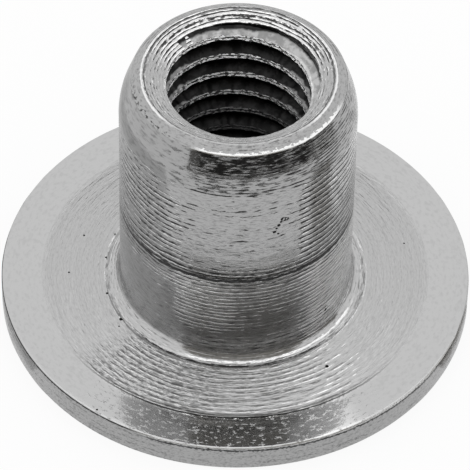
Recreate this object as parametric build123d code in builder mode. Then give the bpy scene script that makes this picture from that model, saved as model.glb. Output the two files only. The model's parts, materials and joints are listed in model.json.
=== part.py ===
"""Sleeve nut: a barrel with a wide round flange, turned in one piece and threaded right through.

The flange's underside stands on Z = 0 and the barrel rises along +Z, about the thread's axis.
"""

import os
from math import radians, tan

from build123d import *

# Flange, in millimetres
flange_diameter = 28.4
flange_thickness = 1.8
rim_rounding = 0.15

# Land: the smooth ring at the rim, left standing by the cut that faces the rest of the flange
land_width = 2.45
land_step = 0.05

# Barrel, measured up from the land
barrel_diameter = 14.0
barrel_height = 16.8
base_fillet = 0.85

# Tapered lead at the barrel's open end, its angle in degrees from the axis
lead_height = 1.84
lead_angle = 20.0
lead_blend = 4.5

# Lip above the lead: a wide bevel up to a narrow flat beside the hole's mouth
lip_height = 0.36
lip_width = 0.63
lip_rounding = 0.52
end_flat = 0.05

# Hole for an M10 coarse thread, at the diameter it is drilled to before the tap cuts it
tapping_diameter = 8.5
mouth_angle = 118.0
underside_chamfer = 0.6

# Places that follow from these sizes
flange_radius = flange_diameter / 2
barrel_radius = barrel_diameter / 2
faced_radius = flange_radius - land_width
faced_level = flange_thickness - land_step
overall_height = flange_thickness + barrel_height
lip_level = overall_height - lip_height
lead_level = lip_level - lead_height
lip_radius = barrel_radius - lead_height * tan(radians(lead_angle))
end_radius = lip_radius - lip_width
mouth_radius = end_radius - end_flat

with BuildPart() as sleeve_nut:
    # The turned blank: half of its section, revolved about the axis
    with BuildSketch(Plane.XZ):
        with BuildLine():
            Polyline(
                (0, 0),
                (flange_radius, 0),
                (flange_radius, flange_thickness),
                (faced_radius, flange_thickness),
                (faced_radius, faced_level),
                (barrel_radius, faced_level),
                (barrel_radius, lead_level),
                (lip_radius, lip_level),
                (end_radius, overall_height),
                (0, overall_height),
                close=True,
            )
        make_face()
    revolve(axis=Axis.Z)

    # The tool's nose leaves a fillet where the barrel meets the flange
    barrel_wall = sleeve_nut.faces().filter_by(GeomType.CYLINDER).sort_by(Axis.Z)[-1]
    fillet(barrel_wall.edges().filter_by(GeomType.CIRCLE).sort_by(Axis.Z)[0], base_fillet)

    # The lead starts from the barrel in a long curve and turns into the lip in a short one
    barrel_wall = sleeve_nut.faces().filter_by(GeomType.CYLINDER).sort_by(Axis.Z)[-1]
    fillet(barrel_wall.edges().filter_by(GeomType.CIRCLE).sort_by(Axis.Z)[-1], lead_blend)
    lip_edges = sleeve_nut.edges().filter_by(GeomType.CIRCLE).group_by(Axis.Z)[-2]
    fillet(lip_edges, lip_rounding)

    # Both edges of the flange's rim are rounded
    rim_edges = sleeve_nut.edges().filter_by(GeomType.CIRCLE).group_by(SortBy.RADIUS)[-1]
    fillet(rim_edges, rim_rounding)

    # The hole runs right through, with a wide countersink at the open end
    with Locations((0, 0, overall_height)):
        CounterSinkHole(
            radius=tapping_diameter / 2,
            counter_sink_radius=mouth_radius,
            counter_sink_angle=mouth_angle,
        )

    # A small chamfer leads the screw in from the underside
    underside = sleeve_nut.faces().sort_by(Axis.Z)[0]
    hole_edge = underside.edges().filter_by(GeomType.CIRCLE).sort_by(SortBy.RADIUS)[0]
    chamfer(hole_edge, underside_chamfer)

sleeve_nut.part.label = "sleeve_nut"

os.makedirs("parts", exist_ok=True)
export_step(sleeve_nut.part, "parts/sleeve_nut.step")
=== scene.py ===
# %% [markdown]
# # A sleeve nut, turned, tapped and plated
# The real nut is one piece of steel: a lathe turns a barrel with a wide flange from a bar, a tap cuts
# the thread, and a thin zinc plating covers it all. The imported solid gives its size, and this lesson
# gives it the tool marks, the thread and the finish. The frame is loaded first, because the main sizes
# below come from it.

# %% Load the frame
import json
import math
from collections import namedtuple

import bmesh
import bpy
from mathutils import Matrix, Vector, noise


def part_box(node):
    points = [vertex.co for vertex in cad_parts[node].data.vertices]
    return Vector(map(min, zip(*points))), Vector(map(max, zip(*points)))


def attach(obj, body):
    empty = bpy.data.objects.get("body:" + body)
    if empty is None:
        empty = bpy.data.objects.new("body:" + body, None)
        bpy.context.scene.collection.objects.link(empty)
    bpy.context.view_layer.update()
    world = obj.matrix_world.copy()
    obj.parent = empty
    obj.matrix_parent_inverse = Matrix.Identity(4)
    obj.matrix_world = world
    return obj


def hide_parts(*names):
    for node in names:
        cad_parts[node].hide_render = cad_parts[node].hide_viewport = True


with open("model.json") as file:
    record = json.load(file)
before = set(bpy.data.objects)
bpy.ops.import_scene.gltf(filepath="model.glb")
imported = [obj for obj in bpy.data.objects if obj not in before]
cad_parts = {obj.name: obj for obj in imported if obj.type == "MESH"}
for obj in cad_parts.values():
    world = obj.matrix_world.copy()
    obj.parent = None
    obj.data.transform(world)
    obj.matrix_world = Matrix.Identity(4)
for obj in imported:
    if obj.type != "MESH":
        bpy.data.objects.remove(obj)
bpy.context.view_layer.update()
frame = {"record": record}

# %% [markdown]
# Blender counts in metres, but a nut is easier to think about in millimetres, and some mesh operators
# round off below a tenth of a millimetre. So the mesh is modelled in millimetres and scaled once, at
# the end. The main sizes are read from the frame and its mounts. Most of the smaller ones repeat values
# of the solid's own source, because the frame doesn't hold them.

# %% Sizes in millimetres
MM = 0.001
mounts = {mount["name"]: mount for mount in frame["record"]["mounts"]}
node_low, node_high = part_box("sleeve_nut")
FLANGE_RADIUS = node_high.x / MM
TOP = node_high.z / MM
BARREL_RADIUS = mounts["barrel"]["dims"]["r_mm"]
HOLE_RADIUS = mounts["thread"]["dims"]["r_mm"]
LAND_LEVEL = mounts["flange_seat"]["pos_m"][2] / MM

LAND_WIDTH = 2.45
LAND_STEP = 0.05
RIM_ROUNDING = 0.15
BASE_FILLET = 0.85
LEAD_HEIGHT = 1.84
LEAD_ANGLE = math.radians(20)
LIP_WIDTH = 0.68
LIP_HEIGHT = 0.36
LIP_ROUNDING = 0.08
MOUTH_HALF_ANGLE = math.radians(59)
UNDERSIDE_CHAMFER = 0.6

faced_radius = FLANGE_RADIUS - LAND_WIDTH
faced_level = LAND_LEVEL - LAND_STEP
lip_level = TOP - LIP_HEIGHT
lead_level = lip_level - LEAD_HEIGHT
lip_radius = BARREL_RADIUS - LEAD_HEIGHT * math.tan(LEAD_ANGLE)
mouth_radius = lip_radius - LIP_WIDTH
mouth_floor = TOP - (mouth_radius - HOLE_RADIUS) / math.tan(MOUTH_HALF_ANGLE)
print(f"flange {2 * FLANGE_RADIUS:.1f} mm, barrel {2 * BARREL_RADIUS:.1f} mm")
print(f"underside at {node_low.z / MM:.1f} mm, open end at {TOP:.1f} mm")

# %% [markdown]
# The camera stands where the photographer's did: well back with a long lens, looking down at about
# 47 degrees, and turned a degree about its own line of sight. Its place was worked out from the
# ellipses that the round edges make in the picture.

# %% Camera
VIEW_ELEVATION = math.radians(47.02)
VIEW_DISTANCE = 263.1
VIEW_ROLL = math.radians(1.09)
VIEW_TARGET = Vector((-0.057, 0, 4.93))
LENS = 334.6
CLIP_NEAR_SHARE = 0.1
CLIP_FAR_SHARE = 100

view_back = Vector((0, -math.cos(VIEW_ELEVATION), math.sin(VIEW_ELEVATION)))
camera = bpy.data.objects.new("camera", bpy.data.cameras.new("camera"))
bpy.context.scene.collection.objects.link(camera)
camera.data.lens = LENS
camera.data.clip_start = VIEW_DISTANCE * MM * CLIP_NEAR_SHARE
camera.data.clip_end = VIEW_DISTANCE * MM * CLIP_FAR_SHARE
camera.rotation_mode = "QUATERNION"
turned_upright = (-view_back).to_track_quat("-Z", "Y")
camera.rotation_quaternion = turned_upright @ Matrix.Rotation(VIEW_ROLL, 3, "Z").to_quaternion()
camera.location = (VIEW_TARGET + view_back * VIEW_DISTANCE) * MM
bpy.context.scene.camera = camera
print("camera at", [round(place, 4) for place in camera.location])

# %% [markdown]
# A turned part is the same all the way round, so half of its section says everything. The section is
# drawn as a ring of straight edges with square corners, and a vertex bevel rounds the corners that the
# tool rounds, the way a drawing gives a radius to a corner. Beside the barrel the tool dwells, and it
# leaves a shallow trough. Each cut also throws up a small burr at its outer edge.

# %% Half section of the blank
TROUGH_DEPTH = 0.03
TROUGH_WIDTH = 0.02
TROUGH_RAMP = 0.08
STEP_RUN = 0.25
BURR_HEIGHT = 0.008
BURR_RUN = 0.06
MOUTH_ROUNDING = 0.06
LEAD_BLEND = 0.8
ARC_SEGMENTS = 8


def rounded(section, corner, reach):
    """Rounds a corner of the section with an arc that starts this far along its edges."""
    bmesh.ops.bevel(
        section, geom=[corner], offset=reach, affect="VERTICES",
        segments=ARC_SEGMENTS, profile=0.5, material=-1,
    )


trough_level = faced_level - TROUGH_DEPTH
trough_edge = BARREL_RADIUS + BASE_FILLET + TROUGH_WIDTH
section = bmesh.new()
places = {
    "hole foot": (HOLE_RADIUS + UNDERSIDE_CHAMFER, 0),
    "rim foot": (FLANGE_RADIUS, 0),
    "rim top": (FLANGE_RADIUS, LAND_LEVEL),
    "land edge": (faced_radius + BURR_RUN, LAND_LEVEL),
    "land burr": (faced_radius, LAND_LEVEL + BURR_HEIGHT),
    "step foot": (faced_radius - STEP_RUN, faced_level),
    "trough edge": (trough_edge + TROUGH_RAMP + BURR_RUN, faced_level),
    "trough burr": (trough_edge + TROUGH_RAMP, faced_level + BURR_HEIGHT),
    "trough foot": (trough_edge, trough_level),
    "base": (BARREL_RADIUS, trough_level),
    "lead": (BARREL_RADIUS, lead_level),
    "lip": (lip_radius, lip_level),
    "mouth": (mouth_radius, TOP),
    "hole top": (HOLE_RADIUS, mouth_floor),
    "hole bottom": (HOLE_RADIUS, UNDERSIDE_CHAMFER),
}
corner = {name: section.verts.new((radius, 0, height)) for name, (radius, height) in places.items()}
ring = list(corner.values())
for here, there in zip(ring, ring[1:] + ring[:1]):
    section.edges.new((here, there))
rounded(section, corner["rim foot"], RIM_ROUNDING)
rounded(section, corner["rim top"], RIM_ROUNDING)
rounded(section, corner["base"], BASE_FILLET)
rounded(section, corner["lead"], LEAD_BLEND)
rounded(section, corner["lip"], LIP_ROUNDING)
rounded(section, corner["mouth"], MOUTH_ROUNDING)
print("half section:", len(section.verts), "points")

# %% [markdown]
# The tool marks are real grooves, at most two hundredths of a millimetre deep, so each turned stretch of the
# section needs points close together. Long edges are cut up by their length, and only where marks go:
# the underside and the plain wall of the hole stay as they are.

# %% Finer edges where the tool leaves marks
MARK_SPACING = 0.11
SMOOTH_SPACING = 0.4


def cut_up(section, spacing, inside):
    """Cuts every edge for which inside(middle) holds into lengths of about the spacing."""
    for edge in section.edges[:]:
        middle = (edge.verts[0].co + edge.verts[1].co) / 2
        cuts = round(edge.calc_length() / spacing) - 1
        if cuts > 0 and inside(middle):
            bmesh.ops.subdivide_edges(section, edges=[edge], cuts=cuts)


cut_up(section, MARK_SPACING, lambda at: at.z > LAND_LEVEL and HOLE_RADIUS < at.x <= BARREL_RADIUS)
cut_up(section, MARK_SPACING, lambda at: UNDERSIDE_CHAMFER < at.z and BARREL_RADIUS < at.x < faced_radius)
cut_up(section, SMOOTH_SPACING, lambda at: at.x > faced_radius and at.z > 0)
print("half section:", len(section.verts), "points")

# %% [markdown]
# Spinning the section a full turn about the axis makes the blank. A full spin needs use_merge, or the
# first and last copies lie on each other, and the normals are recalculated because a spin can turn a
# shape inside out.

# %% Spin the blank
TURN_STEPS = 224
WELD = 0.0004

blank_mesh = section
bmesh.ops.spin(
    blank_mesh, geom=blank_mesh.verts[:] + blank_mesh.edges[:], cent=(0, 0, 0), axis=(0, 0, 1),
    angle=2 * math.pi, steps=TURN_STEPS, use_merge=True,
)
bmesh.ops.remove_doubles(blank_mesh, verts=blank_mesh.verts, dist=WELD)
bmesh.ops.recalc_face_normals(blank_mesh, faces=blank_mesh.faces)
print("blank:", len(blank_mesh.faces), "faces, closed:", all(edge.is_manifold for edge in blank_mesh.edges))

# %% [markdown]
# Each surface of the nut was cut in its own way, so each has its own finish. The faces get the number
# of their finish now, while the shape is still plain. The thread's own finish comes with the tap: a
# Boolean gives each face that it cuts the material number of the cutter's face.

# %% A finish for every face
FINISHES = [
    "land", "faced", "fillet", "foot", "barrel", "lead", "lip", "sink",
    "crest", "thread", "rim", "underside", "pit",
]
PASS_LEVEL = 8.4
EDGE_SHARE = 0.1


def finish_at(place):
    """The name of the finish at this place on the blank."""
    radius = math.hypot(place.x, place.y)
    if radius < HOLE_RADIUS + MOUTH_ROUNDING * EDGE_SHARE:
        return "crest"
    if place.z < UNDERSIDE_CHAMFER and radius < FLANGE_RADIUS - RIM_ROUNDING:
        return "underside"
    if radius > FLANGE_RADIUS - RIM_ROUNDING / 2:
        return "rim"
    if radius > faced_radius:
        return "land"
    if radius > trough_edge + TROUGH_RAMP + BURR_RUN:
        return "faced"
    if radius > BARREL_RADIUS + BASE_FILLET * EDGE_SHARE:
        return "fillet"
    if place.z < PASS_LEVEL:
        return "foot"
    if place.z < lead_level - LEAD_BLEND:
        return "barrel"
    if place.z < lip_level and radius > mouth_radius:
        return "lead"
    return "lip" if radius > mouth_radius else "sink"


for face in blank_mesh.faces:
    face.material_index = FINISHES.index(finish_at(face.calc_center_median()))
print("finishes:", ", ".join(FINISHES))

# %% [markdown]
# Now the tool marks. Each point moves a little into the steel, by a noise that runs fast along the
# section and slowly round the axis, so a mark is a long groove that fades in and out. The unit vector
# from the axis stands for the angle, because it has no seam. The rim is only sawn and tumbled, so it
# has shallow dents instead. At the pass, where the cuts from both ends meet, the tool chattered and
# left a few rings.

# %% Tool marks
MARKS_ROUND = 1.6
MARKS_ALONG = 2.4
DENTS_ROUND = 12
DENTS_ALONG = 0.8
MARK_DEPTH = {"barrel": 0.010, "foot": 0.004, "faced": 0.006, "lead": 0.008, "sink": 0.005, "rim": 0.03}
PASS_REACH = 1.0
PASS_PITCH = 0.33
PASS_DEPTH = 0.010


def mark(place, round_share, along_share):
    """Noise from 0 to 1 that is drawn out round the axis."""
    radius = math.hypot(place.x, place.y)
    away = Vector((place.x, place.y, 0)) / radius
    at = away * round_share + Vector((0, 0, (radius + place.z) * along_share))
    return (1 + noise.noise(at)) / 2


blank_mesh.normal_update()
moves = {}
for vert in blank_mesh.verts:
    around = {FINISHES[face.material_index] for face in vert.link_faces}
    kind = around.pop() if len(around) == 1 else None
    if kind == "rim":
        moves[vert] = -MARK_DEPTH[kind] * mark(vert.co, DENTS_ROUND, DENTS_ALONG)
    elif kind in MARK_DEPTH:
        moves[vert] = -MARK_DEPTH[kind] * mark(vert.co, MARKS_ROUND, MARKS_ALONG)
    if kind in ("barrel", "foot") and abs(vert.co.z - PASS_LEVEL) < PASS_REACH:
        from_pass = vert.co.z - PASS_LEVEL
        wave = (1 - math.cos(2 * math.pi * from_pass / PASS_PITCH)) / 2
        fade = 1 - (from_pass / PASS_REACH) ** 2
        moves[vert] -= PASS_DEPTH * wave * fade * mark(vert.co, MARKS_ROUND, 1 / PASS_PITCH)
for vert, move in moves.items():
    vert.co += vert.normal * move
print("marked points:", len(moves))

# %% [markdown]
# Here and there the bath or a knock left a pit, and some short scratches on the barrel. Each is a small
# ball that the Boolean below takes away together with the thread. The balls on the flange are given by
# their place, the ones on the barrel by their angle in degrees and their height. The third number is the
# ball's share of the full pit's radius.

# %% Places of the pits
PIT_RADIUS = 0.12
PIT_SINK = 0.25
FLANGE_PITS = [
    (-9.29, 2.70, 0.6), (-10.09, -0.39, 0.6), (-7.40, 2.84, 0.5), (-7.88, 0.90, 0.6), (-7.72, -2.05, 0.7),
    (-6.81, -4.13, 1.0), (-6.91, -4.70, 0.5), (5.57, -7.58, 1.0), (10.29, 2.54, 0.5), (-8.00, -11.37, 0.6),
]
BARREL_PITS = [
    (-39, 3.28, 1.0), (-65, 13.2, 1.0), (-66.2, 13.24, 1.3), (-67.4, 13.3, 1.2), (-68.2, 13.1, 0.8),
    (-69.3, 12.85, 1.0), (-70.4, 12.62, 0.7), (-71.4, 12.36, 1.0), (-69.5, 12.15, 0.7),
]

pits = []
for x, y, share in FLANGE_PITS:
    size = PIT_RADIUS * share
    level = LAND_LEVEL if math.hypot(x, y) > faced_radius else faced_level
    pits.append((Vector((x, y, level + PIT_SINK * size)), size))
for angle, height, share in BARREL_PITS:
    size = PIT_RADIUS * share
    away = Vector((math.cos(math.radians(angle)), math.sin(math.radians(angle)), 0))
    pits.append((away * (BARREL_RADIUS + PIT_SINK * size) + Vector((0, 0, height)), size))
print("pits:", len(pits))

# %% [markdown]
# A tap cuts the thread, so the tap is the thing to model: one pitch of its profile, spun once round
# with a dvec so that it climbs as it turns. The turn is copied upwards, because a long spin gets slow,
# and merging welds the top of each turn to the bottom of the next. The thread is right-handed, with a
# pitch of 1.5 mm. Its flat crests were lapped over by the tap, which left a groove down their middle.

# %% One turn of the tap, copied upwards
PITCH = 1.5
ROOT_RADIUS = 4.8
CORE_RADIUS = HOLE_RADIUS - 0.25
CREST_WIDTH = 0.36
FLANK = math.tan(math.radians(30))
TAP_STEPS = TURN_STEPS
TAP_START = 0.341
TURNS_BELOW = 2
TAP_TURNS = 16
LAP_SHARE = 0.55
LAP_WIDTH = 0.22
LAP_DEPTH = 0.12

crest_rise = (ROOT_RADIUS - HOLE_RADIUS) * FLANK
core_rise = (HOLE_RADIUS - CORE_RADIUS) * FLANK
lap_level = CREST_WIDTH * LAP_SHARE
tap_points = [
    (CORE_RADIUS, core_rise),
    (CORE_RADIUS, lap_level - LAP_WIDTH / 2),
    (HOLE_RADIUS + LAP_DEPTH, lap_level),
    (CORE_RADIUS, lap_level + LAP_WIDTH / 2),
    (CORE_RADIUS, CREST_WIDTH - core_rise),
    (ROOT_RADIUS, CREST_WIDTH + crest_rise),
    (ROOT_RADIUS, PITCH - crest_rise),
    (CORE_RADIUS, PITCH + core_rise),
]
tap_mesh = bmesh.new()
first_level = TAP_START - TURNS_BELOW * PITCH
tap_line = [tap_mesh.verts.new((radius, 0, height + first_level)) for radius, height in tap_points]
for here, there in zip(tap_line, tap_line[1:]):
    tap_mesh.edges.new((here, there))
bmesh.ops.spin(
    tap_mesh, geom=tap_mesh.verts[:] + tap_mesh.edges[:], cent=(0, 0, 0), axis=(0, 0, 1),
    dvec=(0, 0, PITCH / TAP_STEPS), angle=2 * math.pi, steps=TAP_STEPS,
)
first_turn = tap_mesh.verts[:] + tap_mesh.edges[:] + tap_mesh.faces[:]
for turn in range(1, TAP_TURNS):
    copied = bmesh.ops.duplicate(tap_mesh, geom=first_turn)["geom"]
    points = [item for item in copied if isinstance(item, bmesh.types.BMVert)]
    bmesh.ops.translate(tap_mesh, verts=points, vec=(0, 0, turn * PITCH))
bmesh.ops.remove_doubles(tap_mesh, verts=tap_mesh.verts, dist=WELD)
print("tap:", TAP_TURNS, "turns,", len(tap_mesh.faces), "faces")

# %% [markdown]
# Two flat cuts square off the tap's ends outside the nut, and the holes that they leave are filled. The
# tap trembles a little as it cuts, which leaves the torn edges that a cheap thread has. The balls for
# the pits join the same mesh, so that one Boolean does it all.

# %% Ends of the tap, its tremble and the pits
TAP_OVERRUN = 1.0
TAP_TREMBLE = 0.10
TREMBLE_SPACING = 0.3
PIT_SUBDIVISIONS = 2

for level, side in ((-TAP_OVERRUN, -1), (TOP + TAP_OVERRUN, 1)):
    everything = tap_mesh.verts[:] + tap_mesh.edges[:] + tap_mesh.faces[:]
    bmesh.ops.bisect_plane(
        tap_mesh, geom=everything, plane_co=(0, 0, level), plane_no=(0, 0, side), clear_outer=True,
    )
bmesh.ops.holes_fill(tap_mesh, edges=[edge for edge in tap_mesh.edges if edge.is_boundary])
for vert in tap_mesh.verts:
    vert.co.z += TAP_TREMBLE * noise.noise(vert.co / TREMBLE_SPACING)
for face in tap_mesh.faces:
    face.material_index = FINISHES.index("thread")
for place, size in pits:
    punch = bmesh.ops.create_icosphere(
        tap_mesh, subdivisions=PIT_SUBDIVISIONS, radius=size, matrix=Matrix.Translation(place),
    )
    for face in {face for vert in punch["verts"] for face in vert.link_faces}:
        face.material_index = FINISHES.index("pit")
bmesh.ops.recalc_face_normals(tap_mesh, faces=tap_mesh.faces)
print("tap:", len(tap_mesh.faces), "faces, closed:", all(edge.is_manifold for edge in tap_mesh.edges))

# %% [markdown]
# A Boolean modifier takes the tap away from the blank. It leaves the thread's crests as they are on
# the real nut: what is left of the drilled wall, cut off at a slant where the countersink meets them.
# The result is read back as a plain mesh, so nothing stays live.

# %% Cut the thread


def as_object(mesh_data, name):
    """A new object at the origin that holds this bmesh."""
    mesh = bpy.data.meshes.new(name)
    mesh_data.to_mesh(mesh)
    mesh_data.free()
    made = bpy.data.objects.new(name, mesh)
    bpy.context.scene.collection.objects.link(made)
    return made


nut = as_object(blank_mesh, "turned_nut")
tap = as_object(tap_mesh, "tap")
for name in FINISHES:
    nut.data.materials.append(bpy.data.materials.new(name + "_steel"))
finishes = {name: nut.data.materials[at] for at, name in enumerate(FINISHES)}
threading = nut.modifiers.new("threading", "BOOLEAN")
threading.operation = "DIFFERENCE"
threading.solver = "MANIFOLD"
threading.material_mode = "INDEX"
threading.object = tap
graph = bpy.context.evaluated_depsgraph_get()
tapped = bpy.data.meshes.new_from_object(nut.evaluated_get(graph))
nut.modifiers.clear()
nut.data = tapped
bpy.data.objects.remove(tap)
print("cut:", len(tapped.polygons), "faces")

# %% [markdown]
# Where the tap's edges cross the edges of the blank, the cut leaves points that almost lie on each
# other. They are welded, and points that only lie along an edge are dissolved, which keeps the mesh
# clean and light. Then the mesh is scaled to metres and shaded smooth, apart from its sharp edges.

# %% Weld the cut and scale the nut
SHARP = math.radians(35)

welded = bmesh.new()
welded.from_mesh(tapped)
bmesh.ops.remove_doubles(welded, verts=welded.verts, dist=WELD)
bmesh.ops.dissolve_degenerate(welded, edges=welded.edges, dist=WELD)
spare = [vert for vert in welded.verts if len(vert.link_edges) == 2]
bmesh.ops.dissolve_verts(welded, verts=spare)
closed = all(edge.is_manifold for edge in welded.edges)
welded.to_mesh(tapped)
welded.free()
tapped.transform(Matrix.Scale(MM, 4))
tapped.shade_smooth()
tapped.set_sharp_from_angle(angle=SHARP)
tapped.calc_loop_triangles()
print("tapped nut:", len(tapped.loop_triangles), "triangles, closed:", closed)

# %% [markdown]
# A material is a small sum: so much of this noise, less of that mask. Written out as nodes and links it
# is hard to read, so this class wraps a socket. A plus or a minus between two of them adds a Math node,
# and every other kind of node comes from the one method below. Adding 0 or multiplying by 1 changes
# nothing, so it adds no node.

# %% Shader sums as plain Python


class Signal:
    """A socket of a material: sums on it add Math nodes, and node() adds any other node."""

    def __init__(self, tree, socket=None):
        self.tree = tree
        self.socket = socket

    def node(self, kind, settings, sockets, output=0):
        """Adds a node: its settings first, then the value or the link of each named socket."""
        made = self.tree.nodes.new("ShaderNode" + kind)
        for name, setting in settings.items():
            setattr(made, name, setting)
        for name, given in sockets.items():
            if isinstance(given, Signal):
                self.tree.links.new(given.socket, made.inputs[name])
            else:
                made.inputs[name].default_value = given
        return Signal(self.tree, made.outputs[output] if made.outputs else None)

    def beside(self, output):
        """Another output of the same node."""
        return Signal(self.tree, self.socket.node.outputs[output])

    def math(self, operation, first, second=0.0):
        """A Math node on one or two values."""
        return self.node("Math", {"operation": operation}, {0: first, 1: second})

    def __add__(self, other):
        return self if other == 0 else self.math("ADD", self, other)

    def __sub__(self, other):
        return self.math("SUBTRACT", self, other)

    def __rsub__(self, other):
        return self.math("SUBTRACT", other, self)

    def __mul__(self, other):
        return self if other == 1 else self.math("MULTIPLY", self, other)

    def __truediv__(self, other):
        return self.math("DIVIDE", self, other)

    def __pow__(self, other):
        return self.math("POWER", self, other)

    def __neg__(self):
        return self.math("MULTIPLY", self, -1)

    __radd__ = __add__
    __rmul__ = __mul__


print("signal class ready")

# %% [markdown]
# A few helpers on these signals serve every material. A soft step turns a measure into a mask, a soft
# step of the distance from a middle makes a band, and show() links a finished shader to the output. A
# mask is always between 0 and 1, so masks are joined by multiplying them.

# %% Masks and outputs


def empty_tree(owner):
    """The cleared node tree of a material or a world, ready for signals."""
    owner.use_nodes = True
    owner.node_tree.nodes.clear()
    return Signal(owner.node_tree)


def between(signal, low, high):
    """A soft step: 0 below low, 1 above high."""
    return signal.node(
        "MapRange", {"interpolation_type": "SMOOTHSTEP"},
        {"Value": signal, "From Min": low, "From Max": high},
    )


def band(signal, middle, half, blur):
    """1 within half a width of the middle, fading out over the blur."""
    return 1 - between(signal.math("ABSOLUTE", signal - middle), half - blur, half + blur)


def show(shader, output="OutputMaterial"):
    """Makes this shader what the material or the world shows."""
    shader.node(output, {}, {"Surface": shader})


print("mask helpers ready")

# %% [markdown]
# Everything on a turned part follows the axis, so every pattern here is drawn out round it. The place
# comes from Object coordinates, in millimetres. The noise takes the unit vector from the axis in place of
# the angle, which would have a seam, and the way along the section as its third coordinate.

# %% Noise that runs round the axis
NOISE_ROUGHNESS = 0.6


def steel_place(start):
    """Place on the nut in millimetres, and its distance from the axis."""
    place = start.node("TexCoord", {}, {}, "Object")
    place = start.node("VectorMath", {"operation": "SCALE"}, {"Vector": place, "Scale": 1 / MM})
    across = start.node("SeparateXYZ", {}, {"Vector": place})
    radius = (across * across + across.beside("Y") * across.beside("Y")) ** 0.5
    return place, radius


def ring_noise(place, radius, along, length, width, detail=1.0):
    """Noise drawn out round the axis: its features are this long and this wide, in millimetres."""
    across = place.node("SeparateXYZ", {}, {"Vector": place})
    at = place.node("CombineXYZ", {}, {
        "X": across / radius * (BARREL_RADIUS / length),
        "Y": across.beside("Y") / radius * (BARREL_RADIUS / length),
        "Z": along / width,
    })
    return place.node(
        "TexNoise", {}, {"Vector": at, "Scale": 1.0, "Detail": detail, "Roughness": NOISE_ROUGHNESS},
    )


print("ring noise ready")

# %% [markdown]
# The worn and stained places, and the painted highlights and painted shade, aren't the same all round. A
# zone names such a place by its sides. Front, back, left and right say how far a place is turned that way,
# from 0 when it is square to it up to 1 when it faces it, above is a height, and each has a soft step from
# its first number to its second. A ring, a level or a strip across is a band, with its middle, half of
# its width and its blur. A ragged edge follows the grain. All of it is fixed to the nut, so nothing slides
# in other views.

# %% Zones
CHATTER_RAGGED = 0.1
FRONT_RIGHT = {"front": (0.2, 0.5), "right": (-0.45, -0.3)}

Spot = namedtuple("Spot", "x y height radius grains ridges")


def chatter(spot, ragged):
    """A wave with a crest at each ring of the pass."""
    turn = (spot.height - PASS_LEVEL + spot.grains * CHATTER_RAGGED) * (2 * math.pi / PASS_PITCH)
    return turn.math("COSINE", turn)


STEPS = {
    "front": lambda spot, ragged: -spot.y,
    "back": lambda spot, ragged: spot.y,
    "left": lambda spot, ragged: -spot.x,
    "right": lambda spot, ragged: spot.x,
    "both_sides": lambda spot, ragged: spot.x * spot.x,
    "above": lambda spot, ragged: spot.height,
    "torn_above": lambda spot, ragged: spot.height + spot.grains * ragged,
    "high_grain": lambda spot, ragged: spot.grains,
    "low_grain": lambda spot, ragged: -spot.grains,
    "chatter": chatter,
}
BANDS = {
    "across": lambda spot, ragged: spot.x,
    "level": lambda spot, ragged: spot.height + spot.grains * ragged,
    "ring": lambda spot, ragged: spot.radius + spot.grains * ragged,
}


def zone_mask(spot, zone):
    """1 inside the zone and 0 outside: the product of its soft steps and bands."""
    ragged = zone.get("ragged", 0.0)
    mask = spot.ridges if zone.get("on_ridges") else 1.0
    for side, limits in zone.items():
        if side in STEPS:
            mask = mask * between(STEPS[side](spot, ragged), *limits)
        elif side in BANDS:
            mask = mask * band(BANDS[side](spot, ragged), *limits)
    return mask


print("zones by", ", ".join(list(STEPS) + list(BANDS)))

# %% [markdown]
# A touch paints a zone dark, for dirt and for painted shade, or bright, for worn steel and for painted
# highlights. Its share says how much of the old shade it hides. The same zones also say where there is
# more of something, such as lines, and amounts like that are simply added up.

# %% Touches
WEAR_AND_HIGHLIGHT_TONE = 0.95
DIRT_AND_SHADE_TONE = 0.05

Touch = namedtuple("Touch", "tone shares zone")


def more(amount, **zone):
    """So much more of something in this zone, or less where the amount is negative."""
    return amount, zone


def total(spot, amounts):
    """The sum of the amounts, each in its own zone."""
    return sum(amount * zone_mask(spot, zone) for amount, zone in amounts)


def dirt_and_painted_shade(share, **zone):
    """A dark touch, of dirt or thin plating, and in some places of painted shade."""
    return Touch(DIRT_AND_SHADE_TONE, [more(share)], zone)


def wear_and_painted_highlight(share, **zone):
    """A bright touch, of worn or wiped plating, and in some places a painted highlight."""
    return Touch(WEAR_AND_HIGHLIGHT_TONE, [more(share)], zone)


def touched(shade, spot, touches):
    """The shade after all touches, in their order."""
    for tone, shares, zone in touches:
        mask = zone_mask(spot, zone) * total(spot, shares)
        shade = shade * (1 - mask) + tone * mask
    return shade


print("touches from tone", DIRT_AND_SHADE_TONE, "to", WEAR_AND_HIGHLIGHT_TONE)

# %% [markdown]
# A lathe tool leaves one line for each turn of the bar, a feed apart. The lines wander, break up into
# dashes and come in bunches, because the tool chatters and the bar isn't the same everywhere. A sine of
# the turns gives the dark bottom of each line and another, a quarter turn on, the ridge beside it, which
# the recipe below brightens with a painted highlight.

# %% Lines of the tool
DRIFT_LENGTH = 5.0
DRIFT_FEEDS = 3
DRIFT_TURNS = 1.2
DASH_LENGTH = 0.7
DASH_FEEDS = 1 / 3
DASH_TURNS = 0.5
BUNCH_LENGTH = 6.0
BUNCH_FEEDS = 4
DASH_SHARE = 0.6
WHOLE_SHARE = 0.35
LINE_STEP = (0.48, 0.56)
WHOLE_STEP = (0.4, 0.52)
BOTTOM_STEP = (0.1, 0.7)
RIDGE_STEP = (0.4, 0.9)


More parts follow.
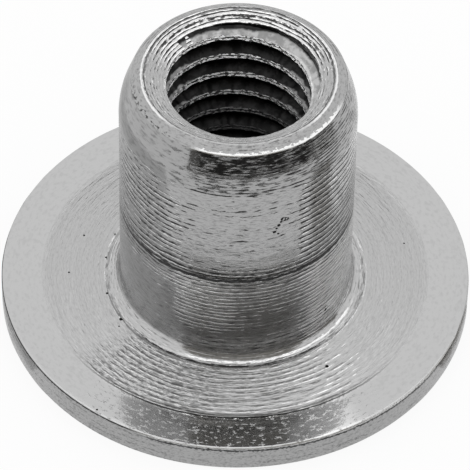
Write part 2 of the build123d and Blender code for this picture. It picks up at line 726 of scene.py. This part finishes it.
def tool_lines(place, radius, along, feed, grains, extra):
    """Masks of the lines and of their ridges, and how far each turn has come, from 0 to 1."""
    drift = ring_noise(place, radius, along, DRIFT_LENGTH, feed * DRIFT_FEEDS)
    dash = ring_noise(place, radius, along, DASH_LENGTH, feed * DASH_FEEDS)
    bunch = ring_noise(place, radius, along, BUNCH_LENGTH, feed * BUNCH_FEEDS)
    turns = along / feed + drift * DRIFT_TURNS + dash * DASH_TURNS
    angle = turns * (2 * math.pi)
    there = between(DASH_SHARE * dash + (1 - DASH_SHARE) * bunch + extra, *LINE_STEP)
    there = there * between(grains + WHOLE_SHARE * extra, *WHOLE_STEP)
    line = between(angle.math("SINE", angle), *BOTTOM_STEP) * there
    ridge = between(angle.math("SINE", angle - math.pi / 2), *RIDGE_STEP) * there
    return line, ridge, turns.math("FRACT", turns)


print("tool lines ready")

# %% [markdown]
# All the turned surfaces share one recipe. The tool's lines are dark, because dirt and thin plating stay
# in them, and a grain of small facets lies over them, from the tumbling and the plating bath. What
# differs from surface to surface is how deep and how dark the lines are, how coarse the grain is and how
# well it is polished. A tooth tilts each turn like a saw's, as a pointed tool does, and flecks are small
# raised facets at the nut's front, which glint.

# %% Recipe for turned steel
NOISE_MIDDLE = 0.5
GRAIN_DETAIL = 3.0
GRAIN_STEP = (0.45, 0.7)
FLECK_ZONE = {"high_grain": (0.07, 0.22), "front": (0.7, 0.9)}
LINE_ROUGHNESS = 0.1
QUARTER_TURN = 0.25


def turned_steel(
    name, tone, polish, feed, grain, grain_depth, grain_dark, drawn=1.0, rises=-1, groove=0.0,
    dark=0.0, bright=0.0, tooth=0.0, flecks=0.0, spread=0.0, fewer=0.0,
    heavier=(), deeper=(), brighter=(), touches=(),
):
    """Plated steel with lines round the axis, one for each turn of the feed, and a grain."""
    place, radius = steel_place(empty_tree(finishes[name]))
    across = place.node("SeparateXYZ", {}, {"Vector": place})
    height = across.beside("Z")
    along = radius + height * rises
    grains = ring_noise(place, radius, along, grain * drawn, grain, GRAIN_DETAIL)
    spot = Spot(across / radius, across.beside("Y") / radius, height, radius, grains - NOISE_MIDDLE, None)
    line, ridge, slope = tool_lines(place, radius, along, feed, grains, total(spot, heavier) - fewer)
    spot = spot._replace(ridges=ridge)
    grained = 1 - grain_dark * between(grains, *GRAIN_STEP)
    # The bright ridge beside each line is a painted highlight.
    shade = tone * (1 - dark * line) * (1 + bright * ridge) * grained
    shade = touched(shade * (1 + total(spot, brighter)), spot, touches)
    relief = grains * grain_depth + (ridge - line) * (groove / 2) * (1 + total(spot, deeper))
    relief = relief - slope * tooth + zone_mask(spot, FLECK_ZONE) * flecks
    bump = place.node("Bump", {}, {"Height": relief, "Distance": MM, "Strength": 1.0}, "Normal")
    show(place.node("BsdfPrincipled", {}, {
        "Base Color": shade,
        "Metallic": 1.0,
        "Roughness": polish + LINE_ROUGHNESS * line,
        "Anisotropic": spread,
        "Anisotropic Rotation": QUARTER_TURN,
        "Normal": bump,
    }))
    print(name, "finish:", len(finishes[name].node_tree.nodes), "nodes")


print("recipe for turned steel ready")

# %% [markdown]
# The land is the ring at the flange's rim that the facing cut left standing. It is the smoothest surface
# of the nut, so it has hardly any lines and mirrors the barrel at the front, where a painted reflection
# brightens one strip. Painted shade darkens the foot of its step, and the step's upper edge has a painted
# highlight.

# %% Finish of the land
STEP_FOOT = (faced_radius + 0.05, 0.06, 0.02)
STEP_EDGE = (faced_radius + 0.16, 0.04, 0.02)

turned_steel(
    "land", tone=0.53, polish=0.07, feed=0.4, grain=0.2, grain_depth=0.004, grain_dark=0.1, flecks=0.022,
    # A painted reflection brightens a strip across the front.
    brighter=[more(0.38, across=(0.43, 0.10, 0.06), front=(0.7, 0.8))],
    touches=[
        # Painted shade along the step's foot, and a painted highlight along its upper edge.
        dirt_and_painted_shade(0.85, ring=STEP_FOOT, ragged=0.2, front=(0.5, 0.9)),
        wear_and_painted_highlight(1.0, ring=STEP_EDGE, ragged=0.2, front=(0.88, 0.96), high_grain=(-0.15, 0.0)),
    ],
)

# %% [markdown]
# Inside the land the flange was faced with a pointed tool. Its turns stand like the teeth of a saw, so
# the front of the ring mirrors the sky instead of the barrel. Most of it has few lines, with more at the
# front, where they are stained on the left and carry a painted highlight on their ridges at the right.

# %% Finish of the faced ring
turned_steel(
    "faced", tone=0.48, polish=0.28, feed=0.36, grain=0.08, grain_depth=0.006, grain_dark=0.15, drawn=3,
    groove=0.01, dark=0.5, bright=0.9, tooth=0.10, fewer=0.16,
    heavier=[more(0.2, front=(0.55, 0.85)), more(0.08, left=(0.0, 0.3), front=(0.5, 0.7))],
    touches=[
        dirt_and_painted_shade(0.5, left=(0.0, 0.2), front=(0.55, 0.75), high_grain=(-0.06, 0.06)),
        # Painted highlights on the ridges at the front right.
        wear_and_painted_highlight(1.0, right=(0.2, 0.4), front=(0.45, 0.6), high_grain=(0.0, 0.08), on_ridges=True),
    ],
)

# %% [markdown]
# Where the barrel meets the flange, the nose of the tool leaves a fillet and the trough beside it. Both
# have painted highlights in thin rings at the front right, with dashes of dirt between them, most of all
# at the front.

# %% Finish of the fillet
FILLET_RING = (BARREL_RADIUS + 0.47, 0.05, 0.02)
TROUGH_RING = (BARREL_RADIUS + 0.95, 0.05, 0.02)
DIRT_RING = (BARREL_RADIUS + 0.74, 0.07, 0.03)
DIRT_ZONE = {"ring": DIRT_RING, "ragged": 0.2, "high_grain": (-0.12, 0.02)}
DIRT_SHARES = [more(0.3), more(0.7, front=(0.5, 0.8))]

turned_steel(
    "fillet", tone=0.5, polish=0.10, feed=0.3, grain=0.12, grain_depth=0.008, grain_dark=0.2, drawn=4,
    groove=0.01, dark=0.5, bright=0.5,
    touches=[
        # Painted highlights in thin rings on the fillet and the trough.
        wear_and_painted_highlight(1.0, ring=FILLET_RING, ragged=0.3, high_grain=(-0.2, 0.0), **FRONT_RIGHT),
        wear_and_painted_highlight(1.0, ring=TROUGH_RING, ragged=0.2, high_grain=(-0.2, 0.0), **FRONT_RIGHT),
        Touch(DIRT_AND_SHADE_TONE, DIRT_SHARES, DIRT_ZONE),
    ],
)

# %% [markdown]
# The barrel was cut from both ends. The two cuts meet at the pass, at mid-height, in a few dark rings.
# The foot below it is a finer cut, rubbed smooth on the left, and painted reflections brighten it on the
# right and in the middle of the left. Above it the feed is coarser, and the lines are heavy at both sides
# but light in the middle and near the lead.

# %% Finishes of the foot and the barrel
FOOT_LEFT = (-0.25, 0.2, 0.1)
LEFT_LINES_ABOVE = (3.5, 4.5)
LEFT_REFLECTION_ABOVE = (3.5, 5.0)
BELOW_PASS = (6.4, 7.6)
NEAR_LEAD = (lead_level - 2.2, lead_level - 0.8)
PASS_LINE = (PASS_LEVEL, 0.10, 0.03)
PASS_RINGS = (PASS_LEVEL, 0.7, 0.3)
PASS_BAND = (PASS_LEVEL, 0.9, 0.3)
PASS_TOUCHES = [
    dirt_and_painted_shade(0.9, chatter=(0.2, 0.5), level=PASS_RINGS, high_grain=(-0.12, 0.0)),
    dirt_and_painted_shade(1.0, level=PASS_LINE, ragged=0.3),
]

turned_steel(
    "foot", tone=0.48, polish=0.24, feed=0.30, grain=0.10, grain_depth=0.006, grain_dark=0.4, drawn=5,
    groove=0.014, dark=0.65, bright=1.3, spread=0.2, fewer=0.01,
    heavier=[
        more(0.14, above=BELOW_PASS),
        more(0.2, across=FOOT_LEFT, above=LEFT_LINES_ABOVE),
        more(0.14, right=(0.5, 0.6)),
        more(-0.10, left=(0.45, 0.6)),
    ],
    # Painted reflections brighten the right side and the middle of the left.
    brighter=[more(0.7, right=(0.58, 0.68)), more(0.9, across=FOOT_LEFT, above=LEFT_REFLECTION_ABOVE)],
    touches=PASS_TOUCHES,
)
turned_steel(
    "barrel", tone=0.395, polish=0.14, feed=0.42, grain=0.09, grain_depth=0.006, grain_dark=0.35, drawn=4,
    groove=0.02, dark=0.9, bright=1.2, spread=0.2, fewer=0.05,
    heavier=[
        more(0.13, left=(0.3, 0.6)),
        more(0.27, right=(0.5, 0.58)),
        more(0.12, level=PASS_BAND),
        more(-0.06, above=NEAR_LEAD),
    ],
    deeper=[more(3.5, right=(0.5, 0.58))],
    touches=PASS_TOUCHES,
)

# %% [markdown]
# The open end has three surfaces: the tapered lead, the bevelled lip and the countersink. The lip's outer
# edge has a painted highlight at the front, the mouth's edge has one at both sides, and dirt lies inside
# the mouth. The lead has a black patch under that bright line. The countersink was cut in short strokes,
# which show best at the back, where it is also painted brighter.

# %% Finishes of the lead, the lip and the countersink
LIP_RING = (lip_radius - 0.06, 0.10, 0.03)
LIP_EDGE = (lip_level - 0.02, lip_level)
MOUTH_RING = (mouth_radius + 0.05, 0.05, 0.02)
INSIDE_RING = (mouth_radius - 0.12, 0.05, 0.02)
STROKE_RING = (mouth_radius - 0.45, 0.08, 0.02)
PATCH_FOOT = (lip_level - 1.2, lip_level - 0.8)
LIP_TOUCHES = [
    # A painted highlight along the mouth's edge at both sides.
    wear_and_painted_highlight(0.8, ring=MOUTH_RING, ragged=0.1, both_sides=(0.3, 0.7)),
    dirt_and_painted_shade(0.7, ring=INSIDE_RING, ragged=0.3),
    dirt_and_painted_shade(
        1.0, ring=LIP_RING, ragged=0.6, above=LIP_EDGE, left=(0.55, 0.7), front=(0.0, 0.3),
        high_grain=(0.0, 0.1),
    ),
    # A painted highlight along the lip's outer edge at the front right.
    wear_and_painted_highlight(1.0, ring=LIP_RING, ragged=0.6, above=LIP_EDGE, **FRONT_RIGHT),
]
BACK_LINES = [more(0.22, back=(0.1, 0.6))]

turned_steel(
    "lead", tone=0.37, polish=0.10, feed=0.25, grain=0.24, grain_depth=0.012, grain_dark=0.4, drawn=3,
    groove=0.01, dark=0.9, flecks=0.14, fewer=0.16,
    heavier=[more(0.18, right=(-0.45, -0.35), front=(0.5, 0.7)), more(0.24, right=(0.6, 0.8))],
    touches=[
        dirt_and_painted_shade(
            0.9, across=(0.15, 0.5, 0.05), front=(0.5, 0.7), torn_above=PATCH_FOOT, ragged=-2,
            low_grain=(-0.05, 0.02),
        ),
    ] + LIP_TOUCHES,
)
turned_steel(
    "lip", tone=0.42, polish=0.16, feed=0.3, grain=0.15, grain_depth=0.006, grain_dark=0.3, drawn=2,
    groove=0.006, dark=0.5, fewer=0.04, heavier=BACK_LINES, touches=LIP_TOUCHES,
)
turned_steel(
    "sink", tone=0.46, polish=0.22, feed=0.3, grain=0.12, grain_depth=0.010, grain_dark=0.2, drawn=4,
    rises=1, groove=0.014, dark=0.95, bright=1.8, tooth=0.07, fewer=0.04, heavier=BACK_LINES,
    brighter=[more(0.5, back=(0.2, 0.6))],
    touches=[
        dirt_and_painted_shade(1.0, ring=STROKE_RING, ragged=0.5, back=(0.2, 0.6), high_grain=(-0.1, 0.0)),
    ] + LIP_TOUCHES,
)

# %% [markdown]
# The rim was sawn and tumbled, so it is duller, with a fine grain. Its upper edge has a painted highlight
# at the front right and is stained at the left. The underside can't be seen from the camera, and it has
# the plain turned finish that such nuts have there.

# %% Finishes of the rim and the underside
RIM_EDGE = (LAND_LEVEL - 0.12, LAND_LEVEL - 0.08)
BELOW_EDGE = (LAND_LEVEL - 0.22, 0.07, 0.03)

turned_steel(
    "rim", tone=0.38, polish=0.28, feed=0.5, grain=0.09, grain_depth=0.008, grain_dark=0.4,
    groove=0.004, dark=0.3,
    touches=[
        dirt_and_painted_shade(1.0, level=BELOW_EDGE, ragged=0.4, **FRONT_RIGHT),
        dirt_and_painted_shade(1.0, torn_above=RIM_EDGE, ragged=0.1, left=(0.35, 0.45), high_grain=(-0.3, -0.1)),
        # A painted highlight along the upper edge at the front right.
        wear_and_painted_highlight(1.0, torn_above=RIM_EDGE, ragged=0.1, **FRONT_RIGHT),
    ],
)
turned_steel(
    "underside", tone=0.44, polish=0.35, feed=0.5, grain=0.3, grain_depth=0.004, grain_dark=0.1, drawn=2,
    groove=0.005, dark=0.2, spread=0.4,
)

# %% [markdown]
# Inside the hole the plating hardly reaches. It covers the first flank below the mouth, a little deeper
# on the right, and ends there in a ragged edge. At the sides of the hole the inner edges of the thread
# get a painted highlight.

# %% Plating on the first flank, and a painted highlight on the thread's edges
PLATED_LEVELS = (16.9, 17.3)
PLATED_TONE = 0.42
PLATED_LEAST = 0.7
PLATED_CLOUDS = 0.5
CLOUD_STEP = (0.4, 0.6)
TORN = 0.4
OILY_FROM = 4.5
OILY_RUN = 0.15
OPEN_SIDE = (0.4, 2.6)
OPEN_RUN = 0.2
EDGE_HIGHLIGHT_SIDES = (3.0, 14.0)
EDGE_HIGHLIGHT_RUN = 0.18
EDGE_HIGHLIGHT_RADII = (HOLE_RADIUS - 0.1, HOLE_RADIUS)
EDGE_HIGHLIGHT_TONE = 0.25


def plated_flank(across, torn, height, grain):
    """The tone that the plating adds on the first flank."""
    right = between(across, *OPEN_SIDE)
    oily = between(torn - right * OPEN_RUN, OILY_FROM, OILY_FROM + OILY_RUN)
    clouds = PLATED_LEAST + PLATED_CLOUDS * between(grain, *CLOUD_STEP)
    return between(height, *PLATED_LEVELS) * (1 - oily) * PLATED_TONE * clouds


def painted_edge_highlight(across, torn):
    """The painted highlight that is added at the thread's inner edges, at the sides of the hole."""
    sides = between(across * across, *EDGE_HIGHLIGHT_SIDES)
    return (1 - between(torn - sides * EDGE_HIGHLIGHT_RUN, *EDGE_HIGHLIGHT_RADII)) * EDGE_HIGHLIGHT_TONE


print("plating reaches", round(TOP - PLATED_LEVELS[0], 2), "mm into the hole")

# %% [markdown]
# The flanks of the thread are almost black with cutting oil, and only the torn crests are bright. A
# painted shade darkens the crests, the pits and the thread's painted edge highlight the lower they lie.
# The pits in the flange and the barrel hold the same dirt. One recipe serves all three: dull steel with a
# film of old oil, mottled by a grain.

# %% Finishes of the thread, its crests and the pits
DEPTH_SHADE_LEVELS = (10.2, 14.6)
DEPTH_SHADE_LEAST = 0.08
MOTTLE_STEP = (0.44, 0.56)
OILY_DRAWN = 3


def oily_steel(name, tone, polish, metal, grain, grain_depth, mottle, plated=False):
    """Dull steel with a film of old oil, plating where it reaches, and a painted shade that deepens lower
    down.
    """
    place, radius = steel_place(empty_tree(finishes[name]))
    across = place.node("SeparateXYZ", {}, {"Vector": place})
    height = across.beside("Z")
    grains = ring_noise(place, radius, height, grain * OILY_DRAWN, grain, GRAIN_DETAIL)
    shade = tone * (1 - mottle + 2 * mottle * between(grains, *MOTTLE_STEP))
    # Painted shade: darker the lower a place lies.
    painted_depth_shade = DEPTH_SHADE_LEAST + between(height, *DEPTH_SHADE_LEVELS)
    if plated:
        torn = radius + (grains - NOISE_MIDDLE) * TORN
        # The thread gets the painted edge highlight, under the painted depth shade.
        shade = shade + plated_flank(across, torn, height, grains) + painted_edge_highlight(across, torn) * painted_depth_shade
    else:
        shade = shade * painted_depth_shade
    relief = {"Height": grains * grain_depth, "Distance": MM, "Strength": 1.0}
    show(place.node("BsdfPrincipled", {}, {
        "Base Color": shade,
        "Metallic": metal,
        "Roughness": polish,
        "Normal": place.node("Bump", {}, relief, "Normal"),
    }))
    print(name, "finish:", len(finishes[name].node_tree.nodes), "nodes")


oily_steel("thread", tone=0.03, polish=0.4, metal=1.0, grain=0.3, grain_depth=0.01, mottle=0.3, plated=True)
oily_steel("crest", tone=1.0, polish=0.5, metal=0.2, grain=0.12, grain_depth=0.06, mottle=0.9)
oily_steel("pit", tone=0.05, polish=0.6, metal=0.5, grain=0.1, grain_depth=0.02, mottle=0.5)

# %% [markdown]
# Polished metal looks like what it reflects, so the studio matters as much as the steel. The floor and
# the sky are white, for the camera and in the metal alike. The Light Path node tells those rays from the
# ones that only carry light, so the floor looks white and still keeps a part of the nut's shadow.

# %% Floor and sky
FLOOR_SIZE = 1.5
FLOOR_GAP = 0.00002
FLOOR_TONE = 0.9
FLOOR_GLOW = 0.9
SKY_LIGHT = 0.95
WHITE = (1, 1, 1, 1)


def seen_directly(start):
    """1 for what the camera sees, straight or in metal or glass, and 0 for light on its way."""
    path = start.node("LightPath", {}, {}, "Is Camera Ray")
    return path + path.beside("Is Glossy Ray") + path.beside("Is Transmission Ray")


def staged(mesh_data, name):
    """An object of the studio, which isn't part of the nut, and its material."""
    made = as_object(mesh_data, name)
    made.data.materials.append(bpy.data.materials.new(name))
    return made, empty_tree(made.data.materials[0])


floor_mesh = bmesh.new()
bmesh.ops.create_grid(floor_mesh, x_segments=1, y_segments=1, size=FLOOR_SIZE)
bmesh.ops.translate(floor_mesh, verts=floor_mesh.verts, vec=(0, 0, -FLOOR_GAP))
floor, start = staged(floor_mesh, "pale_floor")
paper = start.node("BsdfDiffuse", {}, {"Color": (FLOOR_TONE, FLOOR_TONE, FLOOR_TONE, 1)})
glow = start.node("Emission", {}, {"Color": WHITE, "Strength": 1.0})
show(start.node("MixShader", {}, {0: seen_directly(start) * FLOOR_GLOW, 1: paper, 2: glow}))

world = bpy.data.worlds.new("studio")
bpy.context.scene.world = world
start = empty_tree(world)
level = SKY_LIGHT + (1 - SKY_LIGHT) * seen_directly(start)
show(start.node("Background", {}, {"Color": WHITE, "Strength": level}), "OutputWorld")
bpy.context.scene.view_settings.view_transform = "Standard"
print("stage:", floor.name, "and a white sky")

# %% [markdown]
# One large soft box hangs over the nut, a little behind it. An area lamp adds to the white sky where the
# metal mirrors it, so a low level is enough to draw the bright lines on the rounded edges. Its size is
# given by the angle that it fills, seen from the nut.

# %% Soft box
BOX_DISTANCE = 0.5
BOX_LEAN = math.radians(15)
BOX_ANGLE = math.radians(40)
BOX_LEVEL = 0.4

lamp = bpy.data.lights.new("overhead_box", "AREA")
lamp.shape = "SQUARE"
lamp.size = 2 * BOX_DISTANCE * math.tan(BOX_ANGLE / 2)
lamp.energy = BOX_LEVEL * math.pi * lamp.size ** 2
box = bpy.data.objects.new("overhead_box", lamp)
away = Vector((0, math.sin(BOX_LEAN), math.cos(BOX_LEAN)))
box.rotation_mode = "QUATERNION"
box.rotation_quaternion = away.to_track_quat("Z", "Y")
box.location = away * BOX_DISTANCE
bpy.context.scene.collection.objects.link(box)
print("overhead box", round(lamp.energy, 2), "W")

# %% [markdown]
# The dark parts of the metal mirror dark things in the room. Of the dark cloths, one behind the camera
# darkens the foot of the barrel and the front of the flange, one on the table darkens the front of the
# lead, and one at the right darkens the barrel's right side. Beside the nut two sheets lie where its
# shadow falls on the floor, a dark one at the right, which darkens the barrel's right side too, and a grey
# one at the left: they are painted shadows. Each is a strip that is spun part of the way round the nut.
# They show in the metal only: the camera doesn't see them, and they take no light from the floor.

# %% Dark cloths, and two sheets for a painted shadow
CLOTH_STEPS = 24
FLAT = 0.0001
BESIDE_NUT = 0.0145
RIGHT_SHADOW_WIDTH = 0.0155
LEFT_SHADOW_WIDTH = 0.0205
TABLE_FROM = 0.06
TABLE_TO = 0.32
FOLD_LEVEL = 0.09
RIGHT_LEVEL = 0.1
HUNG_LEVEL = 0.55
ON_TABLE = [(TABLE_FROM, FLAT), (TABLE_TO, FLAT)]


def cloth_and_shadow_sheet(name, left, right, profile, colour):
    """A strip swept round the nut, between two angles in degrees, along distances and heights."""
    strip_mesh = bmesh.new()
    line = [strip_mesh.verts.new((0, -distance, height)) for distance, height in profile]
    for here, there in zip(line, line[1:]):
        strip_mesh.edges.new((here, there))
    bmesh.ops.rotate(
        strip_mesh, verts=strip_mesh.verts, cent=(0, 0, 0),
        matrix=Matrix.Rotation(math.radians(left), 3, "Z"),
    )
    bmesh.ops.spin(
        strip_mesh, geom=strip_mesh.verts[:] + strip_mesh.edges[:], cent=(0, 0, 0), axis=(0, 0, 1),
        angle=math.radians(right - left), steps=CLOTH_STEPS,
    )
    made, start = staged(strip_mesh, name)
    show(start.node("BsdfDiffuse", {}, {"Color": colour}))
    made.visible_camera = False
    made.visible_diffuse = False
    made.visible_shadow = False
    print(name, len(made.data.polygons), "faces")


cloth_and_shadow_sheet(
    "cloth_behind_camera", left=-45, right=60, profile=[(TABLE_TO, FOLD_LEVEL), (TABLE_TO, HUNG_LEVEL)],
    colour=(0.31, 0.30, 0.28, 1),
)
cloth_and_shadow_sheet(
    "cloth_on_table", left=-42, right=71, profile=ON_TABLE + [(TABLE_TO, FOLD_LEVEL)],
    colour=(0.15, 0.146, 0.14, 1),
)
cloth_and_shadow_sheet(
    "cloth_at_right", left=72, right=95, profile=ON_TABLE + [(TABLE_TO, RIGHT_LEVEL)],
    colour=(0.22, 0.213, 0.2, 1),
)
# A dark sheet on the floor at the right, where the nut's shadow falls: a painted shadow.
cloth_and_shadow_sheet(
    "cloth_beside_nut", left=64, right=86, profile=[(BESIDE_NUT, FLAT), (BESIDE_NUT + RIGHT_SHADOW_WIDTH, FLAT)],
    colour=(0.38, 0.37, 0.35, 1),
)
# A grey sheet on the floor at the left, where the nut's shadow falls: a painted shadow.
cloth_and_shadow_sheet(
    "card_at_left", left=-170, right=-60, profile=[(BESIDE_NUT, FLAT), (BESIDE_NUT + LEFT_SHADOW_WIDTH, FLAT)],
    colour=(0.68, 0.68, 0.68, 1),
)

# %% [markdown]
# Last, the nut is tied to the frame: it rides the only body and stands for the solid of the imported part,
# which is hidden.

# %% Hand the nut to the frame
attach(nut, "root")
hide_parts("sleeve_nut")
